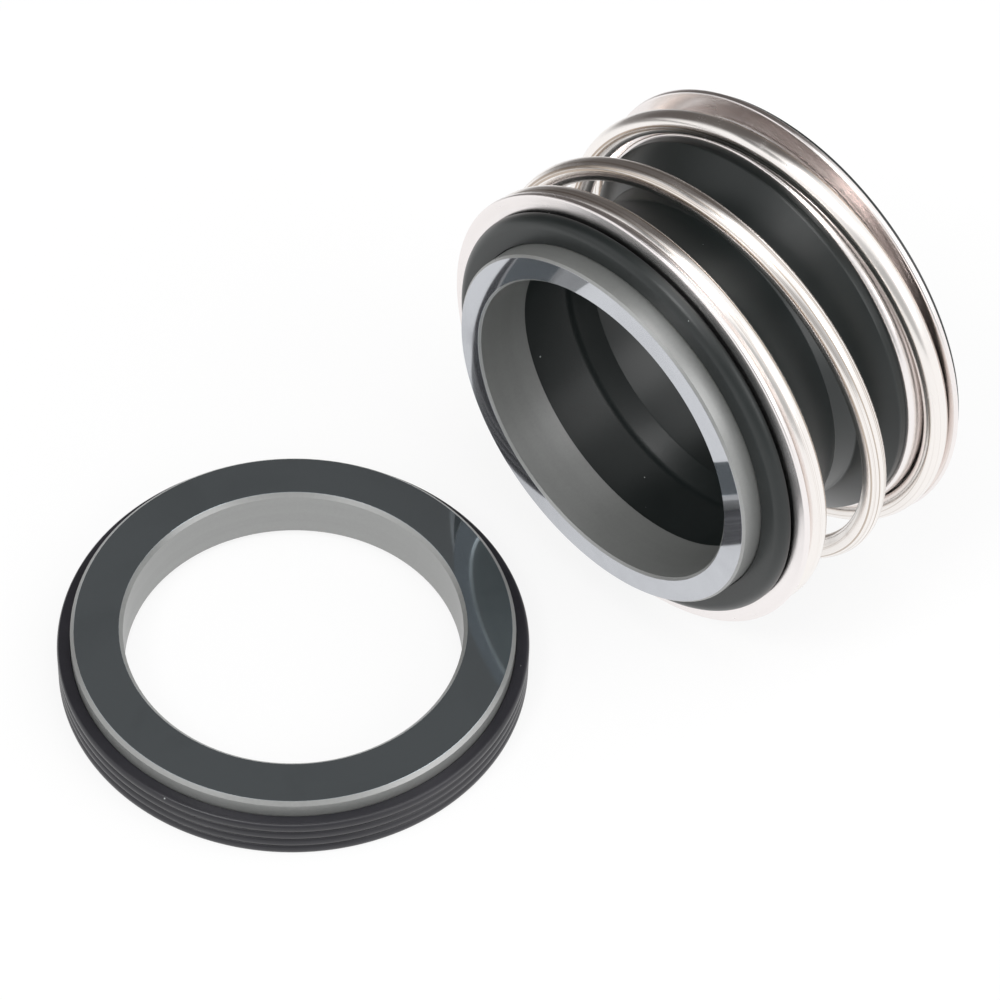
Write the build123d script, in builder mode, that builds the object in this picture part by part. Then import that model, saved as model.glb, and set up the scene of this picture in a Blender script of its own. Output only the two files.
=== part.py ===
"""Component mechanical seal with an elastomer bellows: the rotating head and its stationary seat.

The head lies on the rims of its two spring collars with its axis along X, and the seat lies flat
beside it.  The origin is on the shaft axis, in the plane of the bellows' foot, and +X points from
the running face towards that foot.  All sizes are in millimetres.
"""

import os
from math import cos, radians, sin, sqrt

from build123d import *

# ---- shaft that the seal is made for
SHAFT_D = 40.0                  # the bellows grips it, and the seat stands round it
SHAFT_GRIP = 0.2                # the bellows' bore is this much smaller than the shaft

# ---- clearances
RUBBER_FIT = 0.05               # rubber to metal or ceramic, all round
COIL_FIT = 0.1                  # spring to collar leg, all round
COIL_SEAT = 0.05                # end coil to collar flange
RIM_STAND = 0.2                 # the collars' rims stand this far outside the spring
RING_CLEARANCE = 0.8            # face ring to shaft, all round
SEAT_CLEARANCE = 0.85           # seat ring to shaft, all round
CUP_CLEARANCE = 1.7             # floor of the seat's cup to shaft, all round

# ---- rotating face ring
RING_WALL = 3.5
RING_LENGTH = 7.75
RING_NOSE = 2.83                # length that stands out of the bellows
RING_EDGE = 0.3                 # chamfer at both edges of the lapped face
RING_BACK_EDGE = 0.6

# ---- spring, in full turns of the wire from its front end
WIRE_D = 2.9
PITCH = 12.0
FRONT_FLAT = 0.22               # lies on the front collar
OPENING = 0.78                  # the pitch grows evenly from nothing
OPEN_COILS = 1.3                # full pitch
CLOSING = 0.3                   # the pitch falls evenly to nothing
REAR_FLAT = 0.49                # lies on the rear collar
SPRING_PHASE = 60.0             # angle from +Y towards +Z at which the wire leaves the front collar
PATH_STEPS = 24                 # points in a turn that the wire's path passes through

# ---- the two alike spring collars, pressed from sheet
SHEET = 0.8
COLLAR_LEG = 4.25               # from the flange's spring side to the leg's free end
COLLAR_BEND = 0.6               # inside radius of the bend
LEG_TAPER = 1.5                 # length of the rounded free end
LEG_TIP = 0.25                  # thickness left at the very end
RIM_ROUND = 0.3

# ---- rubber bellows
HEAD_WALL = 1.6                 # rubber between the face ring and the front collar
LIP_HEIGHT = 1.85               # the lip in front of the front collar stands this far above the head
LIP_ROUND = 1.4
LIP_THICKNESS = 1.6             # from the lip's front to the gap before the collar
LIP_GAP = 0.3                   # open groove between lip and collar
LIP_UNDERCUT = 0.9              # depth of that groove
CAVITY_CLEARANCE = 1.6          # hollow behind the ring to shaft, all round
FOLD_WALL = 1.7
FOLD_START = 1.1                # from the end of the front collar's leg
FOLD_LENGTH = 4.0
FOLD_ROUND = 0.7
SHOULDER_LENGTH = 2.3           # from the fold's end to the full tail
SHOULDER_CROWN = 0.5
SHOULDER_ROUND = 0.45
CAVITY_BEHIND_FOLD = 1.0
CAVITY_RAMP = 1.7               # length over which the hollow closes to the grip bore
CAVITY_ROUND = 0.7
FOOT_INSET = 0.6                # the foot's rim lies this far inside the collars' rims
FOOT_THICKNESS = 0.65
FOOT_ROUND = 0.25

# ---- stationary seat
SEAT_HEIGHT = 7.7               # whole height, from the cup's underside to the lapped face
SEAT_EDGE = 0.48
SEAT_BORE_EDGE = 0.5
SEAT_WALL = 6.45
CUP_WALL = 1.7
CUP_HEIGHT = 5.4
CUP_FLOOR = 0.8
CUP_GROOVES = 3
GROOVE_DEPTH = 0.35
GROOVE_WIDTH = 1.0
CUP_EDGE = 0.3

# ---- where the seat lies, measured from the head's running face and from its axis
SEAT_GAP = 6.2
SEAT_ASIDE = 16.1

# ---- worked out: radii
SHAFT_R = SHAFT_D / 2
GRIP_R = SHAFT_R - SHAFT_GRIP / 2
RING_BORE_R = SHAFT_R + RING_CLEARANCE
RING_R = RING_BORE_R + RING_WALL
POCKET_R = RING_R + RUBBER_FIT
RUBBER_R = POCKET_R + HEAD_WALL
LIP_R = RUBBER_R + LIP_HEIGHT
CAVITY_R = SHAFT_R + CAVITY_CLEARANCE
FOLD_R = CAVITY_R + FOLD_WALL
LEG_INNER_R = RUBBER_R + RUBBER_FIT
LEG_OUTER_R = LEG_INNER_R + SHEET
WIRE_R = WIRE_D / 2
COIL_R = LEG_OUTER_R + COIL_FIT + WIRE_R
COLLAR_R = COIL_R + WIRE_R + RIM_STAND
FOOT_R = COLLAR_R - FOOT_INSET
BEND_OUTER = COLLAR_BEND + SHEET
BEND_CLEAR = BEND_OUTER + RUBBER_FIT
BEND_R = LEG_INNER_R + BEND_OUTER
DIAGONAL = sin(radians(45))
SEAT_BORE_R = SHAFT_R + SEAT_CLEARANCE
SEAT_R = SEAT_BORE_R + SEAT_WALL
CUP_R = SEAT_R + CUP_WALL       # a press fit in a housing bore of 58 for the 40 shaft
CUP_BORE_R = SHAFT_R + CUP_CLEARANCE

# ---- worked out: places along the shaft axis, from the foot forwards
REAR_FLANGE_BACK = -FOOT_THICKNESS - RUBBER_FIT
REAR_FLANGE_FRONT = REAR_FLANGE_BACK - SHEET
REAR_COIL_X = REAR_FLANGE_FRONT - COIL_SEAT - WIRE_R
SPRING_RISE = PITCH * (OPENING / 2 + OPEN_COILS + CLOSING / 2)
FRONT_COIL_X = REAR_COIL_X - SPRING_RISE
FRONT_FLANGE_BACK = FRONT_COIL_X - WIRE_R - COIL_SEAT
FRONT_FLANGE_FRONT = FRONT_FLANGE_BACK - SHEET
LIP_BACK = FRONT_FLANGE_FRONT - LIP_GAP
LIP_FRONT = LIP_BACK - LIP_THICKNESS
RING_X = LIP_FRONT - RING_NOSE
POCKET_FLOOR = RING_X + RING_LENGTH + RUBBER_FIT
HEAD_BACK = FRONT_FLANGE_BACK + COLLAR_LEG
FOLD_X = HEAD_BACK + FOLD_START
FOLD_END = FOLD_X + FOLD_LENGTH
TAIL_X = FOLD_END + SHOULDER_LENGTH
CAVITY_END = FOLD_END + CAVITY_BEHIND_FOLD
GRIP_X = CAVITY_END + CAVITY_RAMP

# ---- worked out: the seat's place
FLOOR_Z = -COLLAR_R
SEAT_X = RING_X - SEAT_GAP - CUP_R
SEAT_Y = SEAT_ASIDE
SEAT_PLACE = Location((SEAT_X, SEAT_Y, FLOOR_Z))

# profiles of the head are drawn with x along the shaft and y outwards, then turned about the shaft
HEAD_PLANE = Plane.XZ


def make_face_ring():
    """Ceramic ring whose lapped front face runs against the seat."""
    inner, outer = RING_BORE_R, RING_R
    back = RING_X + RING_LENGTH
    with BuildPart() as ring:
        with BuildSketch(HEAD_PLANE):
            with BuildLine():
                Polyline(
                    (RING_X, inner + RING_EDGE),
                    (RING_X, outer - RING_EDGE),
                    (RING_X + RING_EDGE, outer),
                    (back - RING_BACK_EDGE, outer),
                    (back, outer - RING_BACK_EDGE),
                    (back, inner),
                    (RING_X + RING_EDGE, inner),
                    close=True,
                )
            make_face()
        revolve(axis=Axis.X)
    return ring


def make_collar(spring_side, leg_way):
    """L-shaped sheet ring.  Its flange carries an end coil at x = spring_side, and its leg runs
    inside the spring, towards +X when leg_way is 1 and towards -X when it is -1."""
    back = spring_side - leg_way * SHEET
    free_end = spring_side + leg_way * COLLAR_LEG
    taper_start = free_end - leg_way * LEG_TAPER
    bend_end = back + leg_way * BEND_OUTER
    with BuildPart() as collar:
        with BuildSketch(HEAD_PLANE):
            with BuildLine():
                ThreePointArc(
                    (back, BEND_R),
                    (bend_end - leg_way * BEND_OUTER * DIAGONAL, BEND_R - BEND_OUTER * DIAGONAL),
                    (bend_end, LEG_INNER_R),
                )
                Polyline(
                    (bend_end, LEG_INNER_R),
                    (free_end, LEG_INNER_R),
                    (free_end, LEG_INNER_R + LEG_TIP),
                )
                EllipticalCenterArc(
                    (taper_start, LEG_INNER_R + LEG_TIP),
                    LEG_TAPER,
                    SHEET - LEG_TIP,
                    start_angle=90,
                    arc_size=-90 * leg_way,
                )
                Line((taper_start, LEG_OUTER_R), (bend_end, LEG_OUTER_R))
                ThreePointArc(
                    (bend_end, LEG_OUTER_R),
                    (bend_end - leg_way * COLLAR_BEND * DIAGONAL, BEND_R - COLLAR_BEND * DIAGONAL),
                    (spring_side, BEND_R),
                )
                Polyline((spring_side, BEND_R), (spring_side, COLLAR_R), (back, COLLAR_R), (back, BEND_R))
            section = make_face()
            fillet(section.vertices().group_by(Axis.Y)[-1], radius=RIM_ROUND)
        revolve(axis=Axis.X)
    return collar


def make_bellows():
    """One moulding: head that holds the face ring, thin fold, tail that grips the shaft, foot."""
    front_bend = FRONT_FLANGE_FRONT + BEND_OUTER
    rear_bend = REAR_FLANGE_BACK - BEND_OUTER
    groove_r = LIP_R - LIP_UNDERCUT
    groove_back = front_bend - sqrt(BEND_CLEAR**2 - (BEND_R - groove_r) ** 2)
    shoulder = (TAIL_X - SHOULDER_CROWN, RUBBER_R - SHOULDER_CROWN)
    rounds = [
        ((LIP_FRONT, LIP_R), LIP_ROUND),
        ((HEAD_BACK, RUBBER_R), FOLD_ROUND),
        ((FOLD_X, FOLD_R), FOLD_ROUND),
        ((FOLD_END, FOLD_R), SHOULDER_ROUND),
        (shoulder, SHOULDER_ROUND),
        ((-FOOT_THICKNESS, FOOT_R), FOOT_ROUND),
        ((0, FOOT_R), FOOT_ROUND),
        ((GRIP_X, GRIP_R), CAVITY_ROUND),
        ((CAVITY_END, CAVITY_R), CAVITY_ROUND),
    ]
    with BuildPart() as bellows:
        with BuildSketch(HEAD_PLANE):
            with BuildLine():
                # pocket of the face ring and the lip round it
                Polyline(
                    (POCKET_FLOOR, CAVITY_R),
                    (POCKET_FLOOR, POCKET_R),
                    (LIP_FRONT, POCKET_R),
                    (LIP_FRONT, LIP_R),
                    (LIP_BACK, LIP_R),
                    (LIP_BACK, groove_r),
                    (groove_back, groove_r),
                )
                # behind the lip the rubber follows the front collar's bend
                ThreePointArc(
                    (groove_back, groove_r),
                    (front_bend - BEND_CLEAR * DIAGONAL, BEND_R - BEND_CLEAR * DIAGONAL),
                    (front_bend, RUBBER_R),
                )
                # head, fold, tail
                Polyline(
                    (front_bend, RUBBER_R),
                    (HEAD_BACK, RUBBER_R),
                    (FOLD_X, FOLD_R),
                    (FOLD_END, FOLD_R),
                    shoulder,
                    (TAIL_X, RUBBER_R),
                    (rear_bend, RUBBER_R),
                )
                # the foot starts from the rear collar's bend
                ThreePointArc(
                    (rear_bend, RUBBER_R),
                    (rear_bend + BEND_CLEAR * DIAGONAL, BEND_R - BEND_CLEAR * DIAGONAL),
                    (-FOOT_THICKNESS, BEND_R),
                )
                Polyline(
                    (-FOOT_THICKNESS, BEND_R),
                    (-FOOT_THICKNESS, FOOT_R),
                    (0, FOOT_R),
                    (0, GRIP_R),
                    (GRIP_X, GRIP_R),
                    (CAVITY_END, CAVITY_R),
                    (POCKET_FLOOR, CAVITY_R),
                )
            section = make_face()
            for corner, radius in rounds:
                nearest = section.vertices().sort_by_distance((*corner, 0))[0]
                section = fillet(nearest, radius=radius)
        revolve(axis=Axis.X)
    return bellows


def spring_rise(turn):
    """How far the wire has come from the front coil, that many turns after it leaves the collar."""
    if turn < 0:
        return 0
    if turn < OPENING:
        return PITCH * turn**2 / (2 * OPENING)
    if turn < OPENING + OPEN_COILS:
        return PITCH * (turn - OPENING / 2)
    left = max(OPENING + OPEN_COILS + CLOSING - turn, 0)
    return SPRING_RISE - PITCH * left**2 / (2 * CLOSING)


def make_spring():
    """Round-wire spring: each end lies on its collar, and the pitch grows and falls between them."""
    turns = FRONT_FLAT + OPENING + OPEN_COILS + CLOSING + REAR_FLAT
    steps = round(turns * PATH_STEPS)
    path = []
    for i in range(steps + 1):
        turn = turns * i / steps - FRONT_FLAT
        angle = radians(SPRING_PHASE + 360 * turn)
        path.append((FRONT_COIL_X + spring_rise(turn), COIL_R * cos(angle), COIL_R * sin(angle)))
    with BuildPart() as spring:
        with BuildLine() as wire:
            Spline(*path)
        with BuildSketch(Plane(origin=wire.line @ 0, z_dir=wire.line % 0)):
            Circle(WIRE_R)
        sweep(path=wire.line, is_frenet=True)
    return spring


def make_seat_ring():
    """Stationary ceramic ring, lapped on top, held in its rubber cup."""
    inner, outer = SEAT_BORE_R, SEAT_R
    with BuildPart() as ring:
        with BuildSketch(Plane.XZ):
            with BuildLine():
                Polyline(
                    (inner, CUP_FLOOR),
                    (outer, CUP_FLOOR),
                    (outer, SEAT_HEIGHT - SEAT_EDGE),
                    (outer - SEAT_EDGE, SEAT_HEIGHT),
                    (inner + SEAT_BORE_EDGE, SEAT_HEIGHT),
                    (inner, SEAT_HEIGHT - SEAT_BORE_EDGE),
                    close=True,
                )
            make_face()
        revolve(axis=Axis.Z)
    ring.part = ring.part.moved(SEAT_PLACE)
    return ring


def make_seat_cup():
    """Rubber cup that seals the seat ring in its housing, with sealing ribs round the outside."""
    inner, outer, pocket = CUP_BORE_R, CUP_R, SEAT_R + RUBBER_FIT
    rib_pitch = CUP_HEIGHT / CUP_GROOVES
    groove_r = (GROOVE_WIDTH**2 / 4 + GROOVE_DEPTH**2) / (2 * GROOVE_DEPTH)
    grooves = [
        (outer - GROOVE_DEPTH + groove_r, (i + 0.5) * rib_pitch) for i in range(CUP_GROOVES)
    ]
    with BuildPart() as cup:
        with BuildSketch(Plane.XZ):
            with BuildLine():
                Polyline(
                    (inner, 0),
                    (outer, 0),
                    (outer, CUP_HEIGHT),
                    (pocket, CUP_HEIGHT),
                    (pocket, CUP_FLOOR - RUBBER_FIT),
                    (inner, CUP_FLOOR - RUBBER_FIT),
                    close=True,
                )
            section = make_face()
            fillet(section.vertices().group_by(Axis.X)[-1], radius=CUP_EDGE)
            with Locations(*grooves):
                Circle(groove_r, mode=Mode.SUBTRACT)
        revolve(axis=Axis.Z)
    cup.part = cup.part.moved(SEAT_PLACE)
    return cup


NODES = {
    "seal_face_ring": make_face_ring(),
    "front_spring_collar": make_collar(FRONT_FLANGE_BACK, 1),
    "compression_spring": make_spring(),
    "rear_spring_collar": make_collar(REAR_FLANGE_FRONT, -1),
    "rubber_bellows": make_bellows(),
    "seat_ring": make_seat_ring(),
    "seat_cup": make_seat_cup(),
}

os.makedirs("parts", exist_ok=True)
for label, node in NODES.items():
    node.part.label = label
    export_step(node.part, f"parts/{label}.step")
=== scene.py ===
# %% [markdown]
# # A component mechanical seal with a rubber bellows
# A mechanical seal keeps the liquid in a pump where its shaft comes out.  A spring-loaded head turns
# with the shaft, and its hard ceramic ring runs on an equally hard seat that stands still in the
# housing.  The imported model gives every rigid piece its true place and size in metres, so this file
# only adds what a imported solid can't have: soft rubber forms, drawn wire, finishes, light and a view.

from math import cos, pi, radians, sin, sqrt, tau

import bpy
from mathutils import Matrix, Vector


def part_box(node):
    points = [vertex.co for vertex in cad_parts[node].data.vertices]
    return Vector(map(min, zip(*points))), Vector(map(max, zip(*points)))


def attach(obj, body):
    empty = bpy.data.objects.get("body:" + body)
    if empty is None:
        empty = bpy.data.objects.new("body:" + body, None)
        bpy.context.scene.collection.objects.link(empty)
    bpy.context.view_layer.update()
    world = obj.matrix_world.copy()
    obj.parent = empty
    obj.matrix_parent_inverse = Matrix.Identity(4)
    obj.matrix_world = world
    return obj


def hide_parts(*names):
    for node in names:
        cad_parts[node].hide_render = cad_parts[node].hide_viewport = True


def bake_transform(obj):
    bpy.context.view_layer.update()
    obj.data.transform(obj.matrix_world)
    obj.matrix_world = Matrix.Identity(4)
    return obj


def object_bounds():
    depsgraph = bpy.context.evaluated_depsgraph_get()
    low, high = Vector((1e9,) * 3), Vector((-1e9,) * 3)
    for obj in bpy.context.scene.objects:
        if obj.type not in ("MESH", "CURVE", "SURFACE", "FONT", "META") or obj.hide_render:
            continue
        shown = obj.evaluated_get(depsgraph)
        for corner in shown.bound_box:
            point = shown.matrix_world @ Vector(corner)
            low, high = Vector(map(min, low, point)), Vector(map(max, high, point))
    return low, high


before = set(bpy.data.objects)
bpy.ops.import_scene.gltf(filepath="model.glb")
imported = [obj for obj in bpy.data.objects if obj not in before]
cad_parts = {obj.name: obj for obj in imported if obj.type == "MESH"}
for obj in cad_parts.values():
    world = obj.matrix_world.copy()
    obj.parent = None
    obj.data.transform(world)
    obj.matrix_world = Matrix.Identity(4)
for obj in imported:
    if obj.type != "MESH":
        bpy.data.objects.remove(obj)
cad_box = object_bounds()
MM = 0.001

face_low, face_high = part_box("seal_face_ring")
seat_low, seat_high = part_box("seat_ring")
cup_low, cup_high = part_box("seat_cup")
coil_low, coil_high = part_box("compression_spring")
front_low, front_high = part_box("front_spring_collar")
rear_low, rear_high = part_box("rear_spring_collar")
rubber_low, rubber_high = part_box("rubber_bellows")

FACE_X = face_low[0]
SEAT_CENTRE = ((seat_low[0] + seat_high[0]) / 2, (seat_low[1] + seat_high[1]) / 2)
SEAT_TOP = seat_high[2]
FLOOR_Z = cad_box[0][2]
print("running face at x =", round(FACE_X / MM, 3), "mm, floor at z =", round(FLOOR_Z / MM, 3), "mm")

# %% [markdown]
# ## The view
# The seal is seen from above its running face.  A long lens from about 0.58 m away keeps the circles
# close to true ellipses, as a product photographer would have it.  The camera is placed by its heading,
# its height angle and its distance to a point on the floor, and it is rolled a few degrees.

# %% Camera
HEADING, HEIGHT_ANGLE, ROLL = radians(44.17), radians(49.61), radians(2.57)
DISTANCE = 574.8 * MM
SENSOR_WIDTH, FOCAL_LENGTH = 36, 162
AIM = Vector((-30.08 * MM, 18.02 * MM, FLOOR_Z))

look = Vector((cos(HEIGHT_ANGLE) * cos(HEADING), cos(HEIGHT_ANGLE) * sin(HEADING), -sin(HEIGHT_ANGLE)))
level_right = Vector((sin(HEADING), -cos(HEADING), 0))
level_up = level_right.cross(look)
right = cos(ROLL) * level_right + sin(ROLL) * level_up
up = -sin(ROLL) * level_right + cos(ROLL) * level_up

lens = bpy.data.cameras.new("long_lens")
lens.sensor_width = SENSOR_WIDTH
lens.lens = FOCAL_LENGTH
camera = bpy.data.objects.new("camera", lens)
bpy.context.scene.collection.objects.link(camera)
turned = Matrix((right, up, -look)).transposed().to_4x4()
camera.matrix_world = Matrix.Translation(AIM - DISTANCE * look) @ turned
bpy.context.scene.camera = camera
print("camera is", round(camera.location.z - FLOOR_Z, 3), "m above the floor")

# %% [markdown]
# ## Building node trees by hand
# Shader trees and geometry trees are both made of nodes with named sockets.  One small helper adds a
# node, sets its options and fills or links its inputs, and another opens an empty group.

# %% Helpers for node trees
def put(tree, kind, inputs=(), **options):
    """Adds a node.  inputs maps a socket's name or number to a value or to another node's output."""
    node = tree.nodes.new(kind)
    for name, value in options.items():
        setattr(node, name, value)
    for key, value in dict(inputs).items():
        if isinstance(value, bpy.types.NodeSocket):
            tree.links.new(value, node.inputs[key])
        else:
            node.inputs[key].default_value = value
    return node


def math(tree, operation, *values, clamp=False):
    """A Math node's output for up to three values."""
    return put(tree, "ShaderNodeMath", enumerate(values), operation=operation, use_clamp=clamp).outputs[0]


def open_group(name, kind, inputs, outputs):
    """An empty node group.  inputs and outputs map a socket's name to (kind, starting value)."""
    tree = bpy.data.node_groups.new(name, kind)
    for in_out, sockets in (("INPUT", inputs), ("OUTPUT", outputs)):
        for socket, (socket_kind, value) in sockets.items():
            made = tree.interface.new_socket(socket, in_out=in_out, socket_type="NodeSocket" + socket_kind)
            if value is not None:
                made.default_value = value
    return tree, tree.nodes.new("NodeGroupInput").outputs, tree.nodes.new("NodeGroupOutput").inputs


def use_group(tree, group, inputs):
    """Places a shader node group in a material's tree with its own values."""
    node = tree.nodes.new("ShaderNodeGroup")
    node.node_tree = group
    for key, value in inputs.items():
        if isinstance(value, bpy.types.NodeSocket):
            tree.links.new(value, node.inputs[key])
        else:
            node.inputs[key].default_value = value
    return node.outputs


# %% [markdown]
# ## Effects that several finishes share
# Ground ceramic and pressed steel both carry fine rings from the tool that turned or polished them.
# Rings follow the distance from the axis and the place along it, so a noise that reads only those two
# numbers is the same all the way round.  A little of the angle is mixed in, so that no ring is perfect.

# %% Group: turned rings
turned_rings, given, result = open_group(
    "turned_rings",
    "ShaderNodeTree",
    {"Vector": ("Vector", None), "Rings per Metre": ("Float", 4000.0), "Drift": ("Float", 0.0006)},
    {"Height": ("Float", None), "Tone": ("Float", None)},
)
parts = put(turned_rings, "ShaderNodeSeparateXYZ", {0: given["Vector"]}).outputs
flat = put(turned_rings, "ShaderNodeCombineXYZ", {0: parts[0], 1: parts[1]}).outputs[0]
radius = put(turned_rings, "ShaderNodeVectorMath", {0: flat}, operation="LENGTH").outputs["Value"]
angle = math(turned_rings, "ARCTAN2", parts[1], parts[0])
wander = math(turned_rings, "MULTIPLY", math(turned_rings, "SINE", angle), given["Drift"])
ring_place = put(turned_rings, "ShaderNodeCombineXYZ", {0: radius, 1: parts[2], 2: wander}).outputs[0]
fine = put(
    turned_rings,
    "ShaderNodeTexNoise",
    {"Vector": ring_place, "Scale": given["Rings per Metre"], "Detail": 3.0, "Roughness": 0.65},
)
broad_scale = math(turned_rings, "MULTIPLY", given["Rings per Metre"], 0.18)
broad = put(turned_rings, "ShaderNodeTexNoise", {"Vector": ring_place, "Scale": broad_scale, "Detail": 2.0})
turned_rings.links.new(fine.outputs["Fac"], result["Height"])
turned_rings.links.new(broad.outputs["Fac"], result["Tone"])
print("turned_rings:", len(turned_rings.nodes), "nodes")

# %% [markdown]
# Every piece has been handled.  Fingers leave soft smudges on polished faces, and sliding in a tray
# leaves a few hairlines.  A cloudy noise, eased between two of its values, makes the smudges.  The
# hairlines come from a second noise that is squeezed thirty times in two directions and so runs long in
# the third: where it crosses a narrow band of values, there is a line.

# %% Group: handling marks
handling_marks, given, result = open_group(
    "handling_marks",
    "ShaderNodeTree",
    {"Vector": ("Vector", None), "Smudge Size": ("Float", 90.0), "Hairline Size": ("Float", 260.0)},
    {"Smudge": ("Float", None), "Hairline": ("Float", None)},
)
cloud = put(
    handling_marks,
    "ShaderNodeTexNoise",
    {
        "Vector": given["Vector"],
        "Scale": given["Smudge Size"],
        "Detail": 5.0,
        "Roughness": 0.6,
        "Distortion": 0.6,
    },
)
smudge = put(
    handling_marks,
    "ShaderNodeMapRange",
    {"Value": cloud.outputs["Fac"], "From Min": 0.42, "From Max": 0.72},
    interpolation_type="SMOOTHSTEP",
)
stretched = put(
    handling_marks,
    "ShaderNodeMapping",
    {"Vector": given["Vector"], "Rotation": (0.5, 0.9, 0.6), "Scale": (1.0, 30.0, 30.0)},
)
strand = put(
    handling_marks,
    "ShaderNodeTexNoise",
    {"Vector": stretched.outputs[0], "Scale": given["Hairline Size"], "Detail": 1.0},
)
HAIRLINE_LEVEL, HAIRLINE_BAND = 0.66, 0.012
above = math(handling_marks, "SUBTRACT", strand.outputs["Fac"], HAIRLINE_LEVEL)
off_middle = math(handling_marks, "ABSOLUTE", above)
hairline = put(
    handling_marks,
    "ShaderNodeMapRange",
    {"Value": off_middle, "From Min": 0.0, "From Max": HAIRLINE_BAND, "To Min": 1.0, "To Max": 0.0},
)
handling_marks.links.new(smudge.outputs[0], result["Smudge"])
handling_marks.links.new(hairline.outputs[0], result["Hairline"])
print("handling_marks:", len(handling_marks.nodes), "nodes")

# %% [markdown]
# Moulded rubber is never quite even.  The mould gives it a fine matt skin, the compound shades from
# place to place, and it holds dust.  Dust is a sparse scatter: a Voronoi cell shows a speck only where
# its random colour is low enough and the surface lies close to the cell's point.

# %% Group: moulded skin
moulded_skin, given, result = open_group(
    "moulded_skin",
    "ShaderNodeTree",
    {"Vector": ("Vector", None), "Grain Size": ("Float", 5200.0), "Dust Amount": ("Float", 0.03)},
    {"Grain": ("Float", None), "Shade": ("Float", None), "Dust": ("Float", None)},
)
grain = put(
    moulded_skin,
    "ShaderNodeTexNoise",
    {"Vector": given["Vector"], "Scale": given["Grain Size"], "Detail": 4.0, "Roughness": 0.7},
)
shade = put(
    moulded_skin,
    "ShaderNodeTexNoise",
    {"Vector": given["Vector"], "Scale": 110.0, "Detail": 4.0, "Roughness": 0.55, "Distortion": 0.3},
)
speck = put(moulded_skin, "ShaderNodeTexVoronoi", {"Vector": given["Vector"], "Scale": 620.0})
SPECK_SIZE = 0.07
near_point = math(moulded_skin, "LESS_THAN", speck.outputs["Distance"], SPECK_SIZE)
chance = put(moulded_skin, "ShaderNodeSeparateColor", {0: speck.outputs["Color"]}).outputs[0]
chosen = math(moulded_skin, "LESS_THAN", chance, given["Dust Amount"])
moulded_skin.links.new(grain.outputs["Fac"], result["Grain"])
moulded_skin.links.new(shade.outputs["Fac"], result["Shade"])
moulded_skin.links.new(math(moulded_skin, "MULTIPLY", near_point, chosen), result["Dust"])
print("moulded_skin:", len(moulded_skin.nodes), "nodes")

# %% [markdown]
# ## The sealing ceramic
# Both rings are silicon carbide: dark, hard, and shiny where it is lapped.  Lapping leaves the running
# faces optically flat, so they mirror whatever is in front of them.  The edges, the outside and the bore
# are only ground: a satin grey.  One material recipe serves both rings.  A Mapping node turns each
# ring's axis to Z and puts its lapped face at zero, and a height test then splits lapped from ground.

# %% Material: silicon carbide
def open_material(name):
    """A node material with an empty Principled shader and its tree."""
    material = bpy.data.materials.new(name)
    material.use_nodes = True
    tree = material.node_tree
    return material, tree, tree.nodes["Principled BSDF"]


def blend_colours(tree, share, low, high):
    """Mixes two colours by share."""
    mix = put(tree, "ShaderNodeMix", data_type="RGBA")
    for socket, value in ((mix.inputs[0], share), (mix.inputs[6], low), (mix.inputs[7], high)):
        if isinstance(value, bpy.types.NodeSocket):
            tree.links.new(value, socket)
        else:
            socket.default_value = value
    return mix.outputs[2]


def feed(tree, shader, links):
    """Links outputs to a shader's named sockets."""
    for name, output in links.items():
        tree.links.new(output, shader.inputs[name])


GROUND_DARK, GROUND_PALE = (0.115, 0.12, 0.115, 1), (0.23, 0.235, 0.23, 1)
LAPPED_DEPTH = 0.02 * MM


def make_carbide(name, turn, shift, mirror):
    """Silicon carbide for a ring.  turn brings its axis to Z and shift its lapped face to Z = 0.
    mirror is the lapped face's colour."""
    material, tree, shader = open_material(name)
    here = put(tree, "ShaderNodeTexCoord").outputs["Object"]
    placed = put(tree, "ShaderNodeMapping", {"Vector": here, "Rotation": turn, "Location": shift})
    on_axis = placed.outputs[0]
    height = put(tree, "ShaderNodeSeparateXYZ", {0: on_axis}).outputs[2]
    lapped = math(tree, "GREATER_THAN", height, -LAPPED_DEPTH)
    rings = use_group(tree, turned_rings, {"Vector": on_axis, "Rings per Metre": 3600.0})
    marks = use_group(tree, handling_marks, {"Vector": here, "Smudge Size": 70.0})
    grains = put(tree, "ShaderNodeTexNoise", {"Vector": here, "Scale": 2600.0, "Detail": 5.0})
    crystals = grains.outputs["Fac"]

    ground_tone = math(tree, "MULTIPLY_ADD", rings["Tone"], 0.5, math(tree, "MULTIPLY", crystals, 0.5))
    ground = blend_colours(tree, ground_tone, GROUND_DARK, GROUND_PALE)
    worn_mirror = tuple(0.91 * part for part in mirror)
    polished = blend_colours(tree, marks["Smudge"], (*mirror, 1), (*worn_mirror, 1))
    ground_rough = math(tree, "MULTIPLY_ADD", crystals, 0.2, 0.26)
    lapped_rough = math(tree, "MULTIPLY_ADD", marks["Smudge"], 0.035, 0.035)
    lapped_rough = math(tree, "MULTIPLY_ADD", marks["Hairline"], 0.08, lapped_rough)
    rough = put(tree, "ShaderNodeMix", {0: lapped, 2: ground_rough, 3: lapped_rough}).outputs[0]
    depth = math(tree, "SUBTRACT", 1.0, lapped)
    bump = put(
        tree,
        "ShaderNodeBump",
        {"Height": math(tree, "MULTIPLY", rings["Height"], depth), "Strength": 0.25, "Distance": 0.02 * MM},
    )
    shader.inputs["IOR"].default_value = 2.65
    feed(
        tree,
        shader,
        {
            "Base Color": blend_colours(tree, lapped, ground, polished),
            "Metallic": math(tree, "MULTIPLY", lapped, 0.92),
            "Roughness": rough,
            "Normal": bump.outputs[0],
        },
    )
    return material


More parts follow.
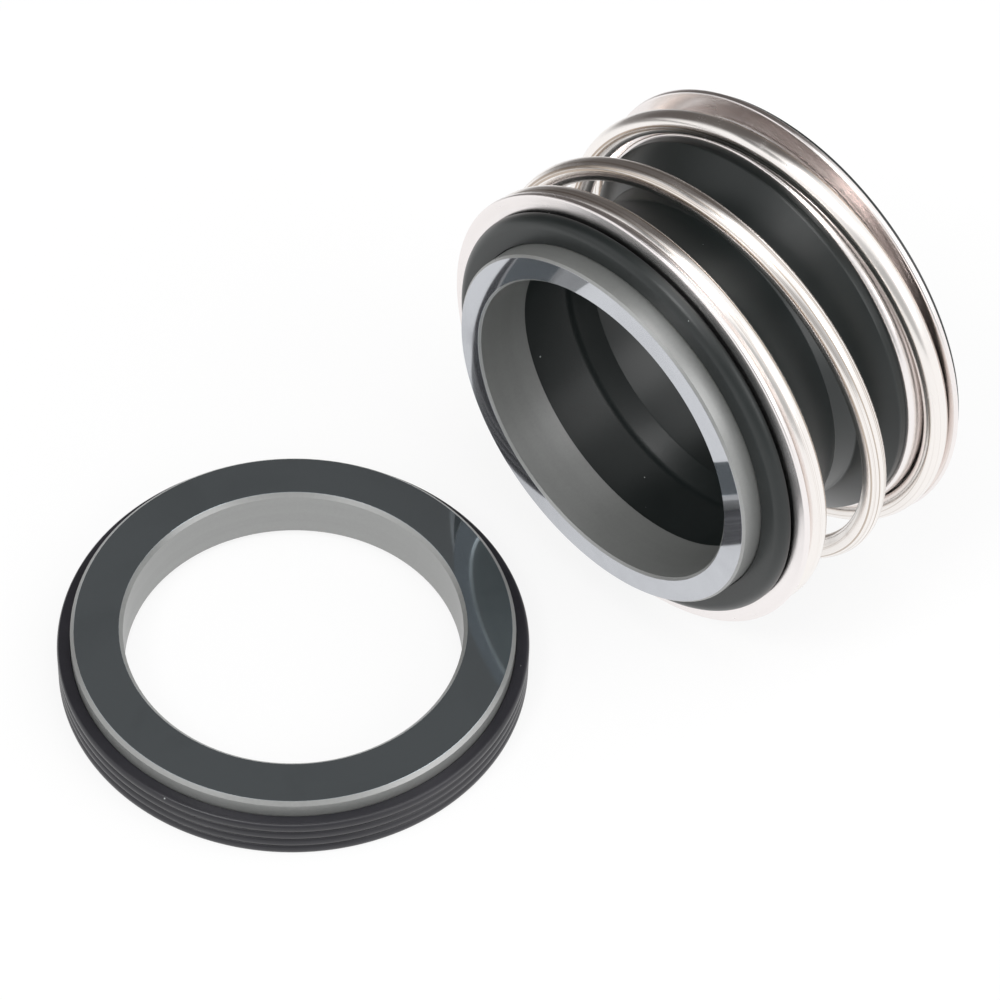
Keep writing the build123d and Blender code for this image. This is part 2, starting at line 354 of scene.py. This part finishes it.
head_carbide = make_carbide("head_carbide", (0, pi / 2, 0), (0, 0, FACE_X), (0.55, 0.565, 0.60))
to_seat = (-SEAT_CENTRE[0], -SEAT_CENTRE[1], -SEAT_TOP)
seat_carbide = make_carbide("seat_carbide", (0, 0, 0), to_seat, (0.37, 0.43, 0.465))
print("carbide finishes:", head_carbide.name, seat_carbide.name)

# %% [markdown]
# ## The pressed collars
# The two collars are pressed from stainless sheet and polished.  Polished steel is a mirror with a
# faint warm tint.  What makes it read as metal are soft rings from the polishing wheel and slightly
# duller patches, so both steer the roughness.

# %% Material: polished sheet
def make_polished_sheet():
    """Stainless sheet, polished after pressing."""
    material, tree, shader = open_material("polished_sheet")
    here = put(tree, "ShaderNodeTexCoord").outputs["Object"]
    on_axis = put(tree, "ShaderNodeMapping", {"Vector": here, "Rotation": (0, pi / 2, 0)}).outputs[0]
    rings = use_group(tree, turned_rings, {"Vector": on_axis, "Rings per Metre": 2600.0, "Drift": 0.001})
    marks = use_group(tree, handling_marks, {"Vector": here, "Smudge Size": 120.0})
    tint = blend_colours(tree, rings["Tone"], (0.86, 0.81, 0.79, 1), (0.98, 0.94, 0.94, 1))
    rough = math(tree, "MULTIPLY_ADD", rings["Height"], 0.14, 0.14)
    rough = math(tree, "MULTIPLY_ADD", marks["Smudge"], 0.06, rough)
    bump = put(tree, "ShaderNodeBump", {"Height": rings["Height"], "Strength": 0.2, "Distance": 0.01 * MM})
    shader.inputs["Metallic"].default_value = 1.0
    feed(tree, shader, {"Base Color": tint, "Roughness": rough, "Normal": bump.outputs[0]})
    return material


polished_sheet = make_polished_sheet()
for node, material in (
    ("seal_face_ring", head_carbide),
    ("seat_ring", seat_carbide),
    ("front_spring_collar", polished_sheet),
    ("rear_spring_collar", polished_sheet),
):
    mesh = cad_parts[node].data
    mesh.materials.clear()
    mesh.materials.append(material)
print("collar finish:", polished_sheet.name)

# %% [markdown]
# ## The spring wire
# Spring wire is drawn through a die, so its marks run along it.  Coordinates in space can't follow a
# coil, so the spring's own tree stores a place on the wire for every point: two numbers across the wire
# and one along it.  The material stretches a noise far along the wire, and so gets drawn lines.  A
# second, coarser noise along the wire tints some broad bands brown.

# %% Material: drawn wire
def make_drawn_wire():
    """Bright spring wire with fine lines along it, read from the attribute wire_place."""
    material, tree, shader = open_material("drawn_wire")
    place = put(tree, "ShaderNodeAttribute", attribute_name="wire_place").outputs["Vector"]
    here = put(tree, "ShaderNodeTexCoord").outputs["Object"]
    drawn = put(tree, "ShaderNodeMapping", {"Vector": place, "Scale": (1.0, 1.0, 0.0015)}).outputs[0]
    lines = put(
        tree,
        "ShaderNodeTexNoise",
        {"Vector": drawn, "Scale": 5200.0, "Detail": 3.0, "Roughness": 0.6},
    )
    bands = put(tree, "ShaderNodeTexNoise", {"Vector": drawn, "Scale": 2600.0, "Detail": 2.0})
    marks = use_group(tree, handling_marks, {"Vector": here, "Smudge Size": 160.0})
    brown = put(
        tree,
        "ShaderNodeMapRange",
        {"Value": bands.outputs["Fac"], "From Min": 0.52, "From Max": 0.66},
        interpolation_type="SMOOTHSTEP",
    ).outputs[0]
    tint = blend_colours(tree, brown, (0.94, 0.90, 0.87, 1), (0.50, 0.42, 0.35, 1))
    rough = math(tree, "MULTIPLY_ADD", lines.outputs["Fac"], 0.16, 0.12)
    rough = math(tree, "MULTIPLY_ADD", marks["Smudge"], 0.08, rough)
    bump = put(
        tree,
        "ShaderNodeBump",
        {"Height": lines.outputs["Fac"], "Strength": 0.2, "Distance": 0.01 * MM},
    )
    shader.inputs["Metallic"].default_value = 1.0
    feed(tree, shader, {"Base Color": tint, "Roughness": rough, "Normal": bump.outputs[0]})
    return material


drawn_wire = make_drawn_wire()
print("wire finish:", drawn_wire.name)

# %% [markdown]
# ## The spring as a rule
# A coil is a rule, so Geometry Nodes can draw it: the angle grows evenly along the wire, and the place
# along the shaft stays still where the wire lies on a collar and grows by one pitch a turn between.
# A coiling machine can't start at full pitch, so the pitch itself grows evenly over part of a turn.
# Added up, that is a parabola and then a straight line, which a Minimum, a Maximum and a square make.
# The same thing by hand would be a curve with hundreds of typed points.

# %% Helper: a slope that begins gently
def eased(tree, turn, length):
    """The sum of a slope that grows evenly from 0 to 1 over length, and then stays 1."""
    inside = math(tree, "MINIMUM", math(tree, "MAXIMUM", turn, 0.0), length)
    curved = math(tree, "DIVIDE", math(tree, "MULTIPLY", inside, inside), math(tree, "MULTIPLY", length, 2.0))
    straight = math(tree, "MAXIMUM", math(tree, "SUBTRACT", turn, length), 0.0)
    return math(tree, "ADD", curved, straight)


# %% Geometry tree: the spring's path
WIRE_SIDES, WIRE_STEPS = 30, 460

spring_tree, given, result = open_group(
    "closed_end_spring",
    "GeometryNodeTree",
    {
        "Geometry": ("Geometry", None),
        "Wire Diameter": ("Float", 0.003),
        "Coil Radius": ("Float", 0.028),
        "Pitch": ("Float", 0.012),
        "Front Flat": ("Float", 0.2),
        "Opening": ("Float", 0.8),
        "Open Coils": ("Float", 1.3),
        "Closing": ("Float", 0.3),
        "Rear Flat": ("Float", 0.5),
        "Front Coil X": ("Float", 0.0),
        "Leaving Angle": ("Float", 0.0),
        "Finish": ("Material", None),
    },
    {"Geometry": ("Geometry", None)},
)
step = put(spring_tree, "GeometryNodeInputIndex").outputs[0]
turns = given["Front Flat"]
for span in ("Opening", "Open Coils", "Closing", "Rear Flat"):
    turns = math(spring_tree, "ADD", turns, given[span])
share = math(spring_tree, "DIVIDE", step, WIRE_STEPS - 1.0)
turn = math(spring_tree, "SUBTRACT", math(spring_tree, "MULTIPLY", share, turns), given["Front Flat"])
coil_angle = math(spring_tree, "MULTIPLY_ADD", turn, tau, given["Leaving Angle"])
since_opened = math(spring_tree, "SUBTRACT", turn, given["Opening"])
closing_turn = math(spring_tree, "SUBTRACT", since_opened, given["Open Coils"])
risen = math(
    spring_tree,
    "SUBTRACT",
    eased(spring_tree, turn, given["Opening"]),
    eased(spring_tree, closing_turn, given["Closing"]),
)
along = math(spring_tree, "MULTIPLY_ADD", risen, given["Pitch"], given["Front Coil X"])
point = put(
    spring_tree,
    "ShaderNodeCombineXYZ",
    {
        0: along,
        1: math(spring_tree, "MULTIPLY", math(spring_tree, "COSINE", coil_angle), given["Coil Radius"]),
        2: math(spring_tree, "MULTIPLY", math(spring_tree, "SINE", coil_angle), given["Coil Radius"]),
    },
).outputs[0]
chain = put(spring_tree, "GeometryNodeMeshLine", {"Count": WIRE_STEPS}).outputs[0]
chain = put(spring_tree, "GeometryNodeSetPosition", {"Geometry": chain, "Position": point}).outputs[0]
path = put(spring_tree, "GeometryNodeMeshToCurve", {"Mesh": chain}).outputs[0]

# %% [markdown]
# The path becomes wire when a circle is carried along it.  Before that, the length along the path and
# the place on the circle are stored as attributes, and the skin inherits both.  A pair of attributes
# read back from the skin then makes the one that the finish reads.

# %% Geometry tree: the spring's skin
length = put(spring_tree, "GeometryNodeSplineParameter").outputs["Length"]
path = put(
    spring_tree,
    "GeometryNodeStoreNamedAttribute",
    {"Geometry": path, "Name": "wire_length", "Value": length},
    data_type="FLOAT",
    domain="POINT",
).outputs[0]
wire_radius = math(spring_tree, "MULTIPLY", given["Wire Diameter"], 0.5)
profile = put(
    spring_tree, "GeometryNodeCurvePrimitiveCircle", {"Resolution": WIRE_SIDES, "Radius": wire_radius}
).outputs[0]
across = put(spring_tree, "GeometryNodeInputPosition").outputs[0]
profile = put(
    spring_tree,
    "GeometryNodeStoreNamedAttribute",
    {"Geometry": profile, "Name": "wire_round", "Value": across},
    data_type="FLOAT_VECTOR",
    domain="POINT",
).outputs[0]
skin = put(
    spring_tree, "GeometryNodeCurveToMesh", {"Curve": path, "Profile Curve": profile, "Fill Caps": True}
).outputs[0]
round_part = put(
    spring_tree, "GeometryNodeInputNamedAttribute", {"Name": "wire_round"}, data_type="FLOAT_VECTOR"
).outputs[0]
length_part = put(
    spring_tree, "GeometryNodeInputNamedAttribute", {"Name": "wire_length"}, data_type="FLOAT"
).outputs[0]
round_xyz = put(spring_tree, "ShaderNodeSeparateXYZ", {0: round_part}).outputs
wire_place = put(
    spring_tree, "ShaderNodeCombineXYZ", {0: round_xyz[0], 1: round_xyz[1], 2: length_part}
).outputs[0]
skin = put(
    spring_tree,
    "GeometryNodeStoreNamedAttribute",
    {"Geometry": skin, "Name": "wire_place", "Value": wire_place},
    data_type="FLOAT_VECTOR",
    domain="POINT",
).outputs[0]
skin = put(spring_tree, "GeometryNodeSetShadeSmooth", {"Geometry": skin}).outputs[0]
skin = put(spring_tree, "GeometryNodeRealizeInstances", {"Geometry": skin}).outputs[0]
skin = put(spring_tree, "GeometryNodeSetMaterial", {"Geometry": skin, "Material": given["Finish"]}).outputs[0]
spring_tree.links.new(skin, result["Geometry"])
print("closed_end_spring:", len(spring_tree.nodes), "nodes")

# %% Helper: run a geometry tree and keep its mesh
def grow(name, tree, values, start=None):
    """Runs a geometry tree on a new object and returns a plain mesh object.  values name its inputs."""
    seed = bpy.data.objects.new(name, start or bpy.data.meshes.new(name))
    bpy.context.scene.collection.objects.link(seed)
    modifier = seed.modifiers.new(name, "NODES")
    modifier.node_group = tree
    sockets = {item.name: item.identifier for item in tree.interface.items_tree if item.in_out == "INPUT"}
    for socket, value in values.items():
        modifier[sockets[socket]] = value
    bpy.context.view_layer.update()
    evaluated = seed.evaluated_get(bpy.context.evaluated_depsgraph_get())
    mesh = bpy.data.meshes.new_from_object(evaluated)
    seed.modifiers.remove(modifier)
    seed.data = mesh
    mesh.name = name
    print(name, "has", len(mesh.polygons), "faces")
    return seed


# %% The compression spring
WIRE_DIAMETER = 2.9 * MM
FRONT_FLAT, OPENING, OPEN_COILS, CLOSING, REAR_FLAT = 0.22, 0.78, 1.3, 0.3, 0.49
LEAVING_ANGLE = radians(60)
coil_radius = (coil_high[2] - coil_low[2] - WIRE_DIAMETER) / 2
front_coil_x = coil_low[0] + WIRE_DIAMETER / 2
rear_coil_x = coil_high[0] - WIRE_DIAMETER / 2

wire_spring = grow(
    "wire_spring",
    spring_tree,
    {
        "Wire Diameter": WIRE_DIAMETER,
        "Coil Radius": coil_radius,
        "Pitch": (rear_coil_x - front_coil_x) / (OPENING / 2 + OPEN_COILS + CLOSING / 2),
        "Front Flat": FRONT_FLAT,
        "Opening": OPENING,
        "Open Coils": OPEN_COILS,
        "Closing": CLOSING,
        "Rear Flat": REAR_FLAT,
        "Front Coil X": front_coil_x,
        "Leaving Angle": LEAVING_ANGLE,
        "Finish": drawn_wire,
    },
)
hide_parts("compression_spring")
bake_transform(wire_spring)
print("spring: pitch grows over", OPENING, "turns, then", OPEN_COILS, "open coils")

# %% [markdown]
# ## Black rubber
# Nitrile rubber is nearly black with a satin skin from its mould.  Light catches it softly, so it needs
# a middling roughness with variation, a faint grain and some dust.  Two batches never match: the
# bellows has a green cast, and the cup is a little paler and leans to purple.

# %% Material: moulded rubber
def make_rubber(name, dust, dark, pale):
    """Moulded nitrile rubber whose skin varies from dark to pale, with a share of dust."""
    material, tree, shader = open_material(name)
    here = put(tree, "ShaderNodeTexCoord").outputs["Object"]
    skin = use_group(tree, moulded_skin, {"Vector": here, "Dust Amount": dust})
    body = blend_colours(tree, skin["Shade"], dark, pale)
    colour = blend_colours(tree, skin["Dust"], body, (0.45, 0.47, 0.47, 1))
    rough = math(tree, "MULTIPLY_ADD", skin["Shade"], 0.12, 0.26)
    bump = put(tree, "ShaderNodeBump", {"Height": skin["Grain"], "Strength": 0.35, "Distance": 0.02 * MM})
    shader.inputs["Specular IOR Level"].default_value = 0.5
    feed(tree, shader, {"Base Color": colour, "Roughness": rough, "Normal": bump.outputs[0]})
    return material


GREENISH_BLACK = (0.006, 0.009, 0.009, 1), (0.016, 0.020, 0.020, 1)
PURPLISH_BLACK = (0.010, 0.010, 0.013, 1), (0.027, 0.026, 0.033, 1)
bellows_rubber = make_rubber("bellows_rubber", 0.02, *GREENISH_BLACK)
cup_rubber = make_rubber("cup_rubber", 0.05, *PURPLISH_BLACK)
print("rubber finishes:", bellows_rubber.name, cup_rubber.name)

# %% [markdown]
# ## Turning a section into a ring
# The bellows and the cup are rings, so a section drawn once and carried round the axis gives the whole
# piece.  The Screw modifier or a spin would do it too, but would leave a seam to merge.  A short
# function closes the ring by itself, and another gives the section true arcs at its corners.

# %% Helpers: rounded section and turned ring
def round_section(corners, step=radians(9)):
    """Turns (along, radius, rounding) corners of a closed section into points with true arcs."""
    points = []
    for i, (x, y, rounding) in enumerate(corners):
        here = Vector((x, y))
        before = (Vector(corners[i - 1][:2]) - here).normalized()
        after = (Vector(corners[(i + 1) % len(corners)][:2]) - here).normalized()
        if rounding == 0:
            points.append(here)
            continue
        half = before.angle(after) / 2
        middle = here + (before + after).normalized() * rounding / sin(half)
        reach = rounding * cos(half) / sin(half)
        first = here + before * reach - middle
        sweep = first.angle_signed(here + after * reach - middle)
        count = max(2, round(abs(sweep) / step))
        for k in range(count + 1):
            turn = Matrix.Rotation(-sweep * k / count, 2)
            points.append(middle + turn @ first)
    return points


SHARP_ANGLE = radians(35)


def turn_ring(name, section, place, material, steps=240):
    """Carries a closed section of (along, radius) points round the axis.  place puts a point
    (along, radius, angle) into the scene.  Faces that meet at over SHARP_ANGLE keep a crisp edge."""
    count = len(section)
    vertices = [place(p[0], p[1], tau * k / steps) for k in range(steps) for p in section]
    faces = []
    for k in range(steps):
        here, ahead = k * count, (k + 1) % steps * count
        for i in range(count):
            beside = (i + 1) % count
            faces.append((here + i, here + beside, ahead + beside, ahead + i))
    mesh = bpy.data.meshes.new(name)
    mesh.from_pydata(vertices, [], faces)
    mesh.materials.append(material)
    mesh.validate()
    ring = bpy.data.objects.new(name, mesh)
    bpy.context.scene.collection.objects.link(ring)
    volume = sum(mesh.vertices[f.vertices[0]].co.dot(f.normal) * f.area for f in mesh.polygons) / 3
    if volume < 0:
        mesh.flip_normals()
    mesh.shade_smooth()
    mesh.set_sharp_from_angle(angle=SHARP_ANGLE)
    print(name, "has", len(faces), "faces")
    return ring


# %% [markdown]
# ## The bellows
# One rubber moulding does four jobs: its head holds the face ring, its thin fold lets the head move,
# its tail grips the shaft, and its foot carries the rear collar.  Its section is drawn from the front,
# outside first, and then back through the bore.

# %% The rubber bellows
def along_shaft(x, r, angle):
    return (x, r * cos(angle), r * sin(angle))


GAP = 0.05 * MM
pocket_r, pocket_floor = face_high[2] + GAP, face_high[0] + GAP

LIP_R, LIP_ROUND, LIP_GAP = 27.8 * MM, 1.4 * MM, 0.3 * MM
lip_front, lip_back = rubber_low[0], front_low[0] - LIP_GAP

HEAD_R = 25.95 * MM
HEAD_OVERHANG, HEAD_ROUND = 0.4 * MM, 1.2 * MM
head_back = front_high[0]

VALLEY_X, VALLEY_END = -13.7 * MM, -10.4 * MM
VALLEY_R, VALLEY_RISE = 21.7 * MM, 0.4 * MM
VALLEY_ROUND, VALLEY_END_ROUND = 0.6 * MM, 0.5 * MM
TAIL_X, TAIL_ROUND = -6.4 * MM, 0.4 * MM

CAVITY_R, CAVITY_END, CAVITY_ROUND = 21.6 * MM, -16.3 * MM, 2.0 * MM
GRIP_R, GRIP_X = 19.9 * MM, -13.4 * MM
EDGE, SMALL_EDGE, BORE_EDGE = 0.25 * MM, 0.15 * MM, 0.1 * MM
foot_r, foot_front = rubber_high[2], rear_high[0] + GAP

# Each collar bends from its leg to its flange, and the rubber follows the bend in two straight steps.
BEND, BEND_R = 1.45 * MM, 27.4 * MM
LEG_SETBACK = 1.4 * MM
front_bend, rear_bend = front_low[0] + LEG_SETBACK, rear_high[0] - LEG_SETBACK
halfway = BEND * cos(radians(45))
LIP_GROOVE = 0.9 * MM
groove_r = LIP_R - LIP_GROOVE
groove_back = front_bend - sqrt(BEND**2 - (BEND_R - groove_r) ** 2)

bellows_section = round_section(
    [
        (pocket_floor, pocket_r, 0),
        (lip_front, pocket_r, SMALL_EDGE),
        (lip_front, LIP_R, LIP_ROUND),
        (lip_back, LIP_R, SMALL_EDGE),
        (lip_back, groove_r, 0),
        (groove_back, groove_r, 0),
        (front_bend - halfway, BEND_R - halfway, 0),
        (front_bend, HEAD_R, 0),
        (head_back + HEAD_OVERHANG, HEAD_R, HEAD_ROUND),
        (VALLEY_X, VALLEY_R, VALLEY_ROUND),
        (VALLEY_END, VALLEY_R + VALLEY_RISE, VALLEY_END_ROUND),
        (TAIL_X - TAIL_ROUND, HEAD_R, TAIL_ROUND),
        (rear_bend, HEAD_R, 0),
        (rear_bend + halfway, BEND_R - halfway, 0),
        (foot_front, BEND_R, 0),
        (foot_front, foot_r, EDGE),
        (0, foot_r, EDGE),
        (0, GRIP_R, BORE_EDGE),
        (GRIP_X, GRIP_R, SMALL_EDGE),
        (CAVITY_END, CAVITY_R, CAVITY_ROUND),
        (pocket_floor, CAVITY_R, 0),
    ]
)
bellows_skin = turn_ring("bellows_skin", bellows_section, along_shaft, bellows_rubber)
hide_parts("rubber_bellows")
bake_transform(bellows_skin)

# %% [markdown]
# ## The seat's cup
# The seat sits in a rubber cup whose ribs seal and hold it in the housing.  The cup's body is a turned
# ring.  The ribs are all alike, so Geometry Nodes makes one and repeats it: an oval is swept round a
# circle, and a line of points puts a copy of that rib at each height.

# %% Geometry tree: stacked ribs
RIB_SIDES, RIB_STEPS = 28, 240

rib_tree, given, result = open_group(
    "stacked_ribs",
    "GeometryNodeTree",
    {
        "Geometry": ("Geometry", None),
        "Crest Radius": ("Float", 0.029),
        "Rib Depth": ("Float", 0.0004),
        "Rib Height": ("Float", 0.0014),
        "Rib Count": ("Int", 4),
        "First Rib": ("Vector", (0.0, 0.0, 0.0)),
        "Finish": ("Material", None),
    },
    {"Geometry": ("Geometry", None)},
)
oval = put(rib_tree, "GeometryNodeCurvePrimitiveCircle", {"Resolution": RIB_SIDES, "Radius": 1.0}).outputs[0]
oval_size = put(
    rib_tree,
    "ShaderNodeCombineXYZ",
    {0: given["Rib Depth"], 1: math(rib_tree, "MULTIPLY", given["Rib Height"], 0.5), 2: 1.0},
).outputs[0]
oval = put(rib_tree, "GeometryNodeTransform", {"Geometry": oval, "Scale": oval_size}).outputs[0]
middle_radius = math(rib_tree, "SUBTRACT", given["Crest Radius"], given["Rib Depth"])
circle = put(
    rib_tree, "GeometryNodeCurvePrimitiveCircle", {"Resolution": RIB_STEPS, "Radius": middle_radius}
).outputs[0]
circle = put(rib_tree, "GeometryNodeSetCurveNormal", {"Curve": circle}, mode="Z_UP").outputs[0]
rib = put(rib_tree, "GeometryNodeCurveToMesh", {"Curve": circle, "Profile Curve": oval}).outputs[0]
rib = put(rib_tree, "GeometryNodeSetShadeSmooth", {"Geometry": rib}).outputs[0]
one_up = put(rib_tree, "ShaderNodeCombineXYZ", {2: given["Rib Height"]}).outputs[0]
heights = put(
    rib_tree,
    "GeometryNodeMeshLine",
    {"Count": given["Rib Count"], "Start Location": given["First Rib"], "Offset": one_up},
).outputs[0]
ribs = put(rib_tree, "GeometryNodeInstanceOnPoints", {"Points": heights, "Instance": rib}).outputs[0]
ribs = put(rib_tree, "GeometryNodeRealizeInstances", {"Geometry": ribs}).outputs[0]
joined = put(rib_tree, "GeometryNodeJoinGeometry", {0: ribs})
rib_tree.links.new(given["Geometry"], joined.inputs[0])
whole = put(
    rib_tree, "GeometryNodeSetMaterial", {"Geometry": joined.outputs[0], "Material": given["Finish"]}
).outputs[0]
rib_tree.links.new(whole, result["Geometry"])
print("stacked_ribs:", len(rib_tree.nodes), "nodes")


# %% The ribbed cup
def round_seat(z, r, angle):
    return (SEAT_CENTRE[0] + r * cos(angle), SEAT_CENTRE[1] + r * sin(angle), z)


RIBS, RIB_DEPTH = 4, 0.42 * MM
CUP_BORE_R, CUP_EDGE = 21.7 * MM, 0.1 * MM
cup_r = (cup_high[0] - cup_low[0]) / 2
cup_bottom, cup_top = cup_low[2], cup_high[2]
seat_r = (seat_high[0] - seat_low[0]) / 2
rib_height = (cup_top - cup_bottom) / RIBS
cup_section = round_section(
    [
        (cup_bottom, CUP_BORE_R, CUP_EDGE),
        (cup_bottom, cup_r - RIB_DEPTH, CUP_EDGE),
        (cup_top, cup_r - RIB_DEPTH, CUP_EDGE),
        (cup_top, seat_r + GAP, CUP_EDGE),
        (seat_low[2] - GAP, seat_r + GAP, 0),
        (seat_low[2] - GAP, CUP_BORE_R, CUP_EDGE),
    ]
)
cup_body = turn_ring("cup_body", cup_section, round_seat, cup_rubber)
cup_skin = grow(
    "cup_skin",
    rib_tree,
    {
        "Crest Radius": cup_r,
        "Rib Depth": RIB_DEPTH,
        "Rib Height": rib_height,
        "Rib Count": RIBS,
        "First Rib": (SEAT_CENTRE[0], SEAT_CENTRE[1], cup_bottom + rib_height / 2),
        "Finish": cup_rubber,
    },
    start=cup_body.data,
)
bpy.data.objects.remove(cup_body)
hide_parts("seat_cup")
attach(cup_skin, "tail_and_seat")

# %% [markdown]
# ## Stage and light
# A pale seamless floor stands in a white room with three soft lamps.  Polished faces show what stands
# round them, so the room's dark parts matter as much as its lamps.  Three soft round flags make them:
# the dim room beyond the table, a small dark spot that only the lapped faces show one another, and a
# middling grey where the viewer stands.  The floor also turns dark, in reflections alone, where the
# table would end.

# %% Helper: a direction
def toward(azimuth, elevation):
    """The unit vector at an azimuth from +X towards +Y and an elevation, both in degrees."""
    flat_part = cos(radians(elevation))
    return (flat_part * cos(radians(azimuth)), flat_part * sin(radians(azimuth)), sin(radians(elevation)))


# %% Floor
SIDE = 3.0
TABLE_END, ROOM_START = 0.10, 0.22
ROOM_AZIMUTH = 68
WHITE, PAPER, WHITENESS = (1, 1, 1, 1), (0.92, 0.92, 0.92, 1), 0.85
ROOM_COLOUR, TABLE_END_COLOUR = (0.115, 0.105, 0.10, 1), (0.10, 0.09, 0.085, 1)

floor_mesh = bpy.data.meshes.new("studio_floor")
floor_mesh.from_pydata(
    [(-SIDE, -SIDE, FLOOR_Z), (SIDE, -SIDE, FLOOR_Z), (SIDE, SIDE, FLOOR_Z), (-SIDE, SIDE, FLOOR_Z)],
    [],
    [(0, 1, 2, 3)],
)
studio_floor = bpy.data.objects.new("studio_floor", floor_mesh)
bpy.context.scene.collection.objects.link(studio_floor)
paper, tree, shader = open_material("studio_paper")
shader.inputs["Base Color"].default_value = PAPER
shader.inputs["Roughness"].default_value = 0.9
shader.inputs["Specular IOR Level"].default_value = 0.1
here = put(tree, "ShaderNodeTexCoord").outputs["Object"]
back = put(
    tree, "ShaderNodeVectorMath", {0: here, 1: toward(ROOM_AZIMUTH, 0)}, operation="DOT_PRODUCT"
).outputs["Value"]
beyond = put(
    tree,
    "ShaderNodeMapRange",
    {"Value": back, "From Min": TABLE_END, "From Max": ROOM_START},
    interpolation_type="SMOOTHSTEP",
).outputs[0]
rays = put(tree, "ShaderNodeLightPath").outputs
unlit = math(tree, "MULTIPLY", beyond, rays["Is Glossy Ray"])
glow_colour = blend_colours(tree, unlit, WHITE, TABLE_END_COLOUR)
glow = put(tree, "ShaderNodeEmission", {"Color": glow_colour, "Strength": 1.0})
seen = math(tree, "MAXIMUM", rays["Is Camera Ray"], rays["Is Glossy Ray"])
amount = math(tree, "MULTIPLY", seen, WHITENESS)
both = put(tree, "ShaderNodeMixShader", {0: amount, 1: shader.outputs[0], 2: glow.outputs[0]})
tree.links.new(both.outputs[0], tree.nodes["Material Output"].inputs["Surface"])
floor_mesh.materials.append(paper)

# %% World
world = bpy.data.worlds.new("studio_world")
world.use_nodes = True
bpy.context.scene.world = world
tree = world.node_tree
background = tree.nodes["Background"]
direction = put(tree, "ShaderNodeTexCoord").outputs["Generated"]


def flag(azimuth, elevation, outer, inner, shade):
    """How much light a soft round flag leaves.  That is all of it from outer degrees off its middle
    outwards, and shade within inner degrees."""
    nearness = put(
        tree, "ShaderNodeVectorMath", {0: direction, 1: toward(azimuth, elevation)}, operation="DOT_PRODUCT"
    ).outputs["Value"]
    return put(
        tree,
        "ShaderNodeMapRange",
        {
            "Value": nearness,
            "From Min": cos(radians(outer)),
            "From Max": cos(radians(inner)),
            "To Min": 1.0,
            "To Max": shade,
        },
        interpolation_type="SMOOTHSTEP",
    ).outputs[0]


room_behind = flag(ROOM_AZIMUTH, 18, 60, 42, 0.0)
mirror_spot = flag(136, 51, 17, 10, 0.2)
camera_side = flag(222, 8, 42, 22, 0.5)
room_colour = blend_colours(tree, room_behind, ROOM_COLOUR, WHITE)
tree.links.new(room_colour, background.inputs["Color"])
tree.links.new(math(tree, "MULTIPLY", camera_side, mirror_spot), background.inputs["Strength"])
plain = put(tree, "ShaderNodeBackground", {"Color": WHITE, "Strength": 1.0}).outputs[0]
to_camera = put(tree, "ShaderNodeLightPath").outputs["Is Camera Ray"]
sky = put(tree, "ShaderNodeMixShader", {0: to_camera, 1: background.outputs[0], 2: plain}).outputs[0]
tree.links.new(sky, tree.nodes["World Output"].inputs["Surface"])


# %% Lamps
def add_softbox(name, place, aim, size, power):
    """A rectangular area lamp at place that points at aim, in metres, with its power in watts."""
    light = bpy.data.lights.new(name, "AREA")
    light.shape = "RECTANGLE"
    light.size, light.size_y = size
    light.energy = power
    lamp = bpy.data.objects.new(name, light)
    bpy.context.scene.collection.objects.link(lamp)
    lamp.location = place
    lamp.rotation_euler = (Vector(aim) - Vector(place)).to_track_quat("-Z", "Y").to_euler()
    print(name, "gives", power, "W")


centre = (-0.04, 0, 0)
add_softbox("front_softbox", (-0.7, 0.0, 0.9), centre, (0.3, 0.3), 2.5)
add_softbox("right_softbox", (0.35, -0.8, 0.6), centre, (0.9, 0.6), 2.6)
add_softbox("top_softbox", (-0.05, -0.1, 1.1), centre, (0.9, 0.6), 2.8)

# %% Finish
bpy.context.scene.view_settings.view_transform = "Standard"
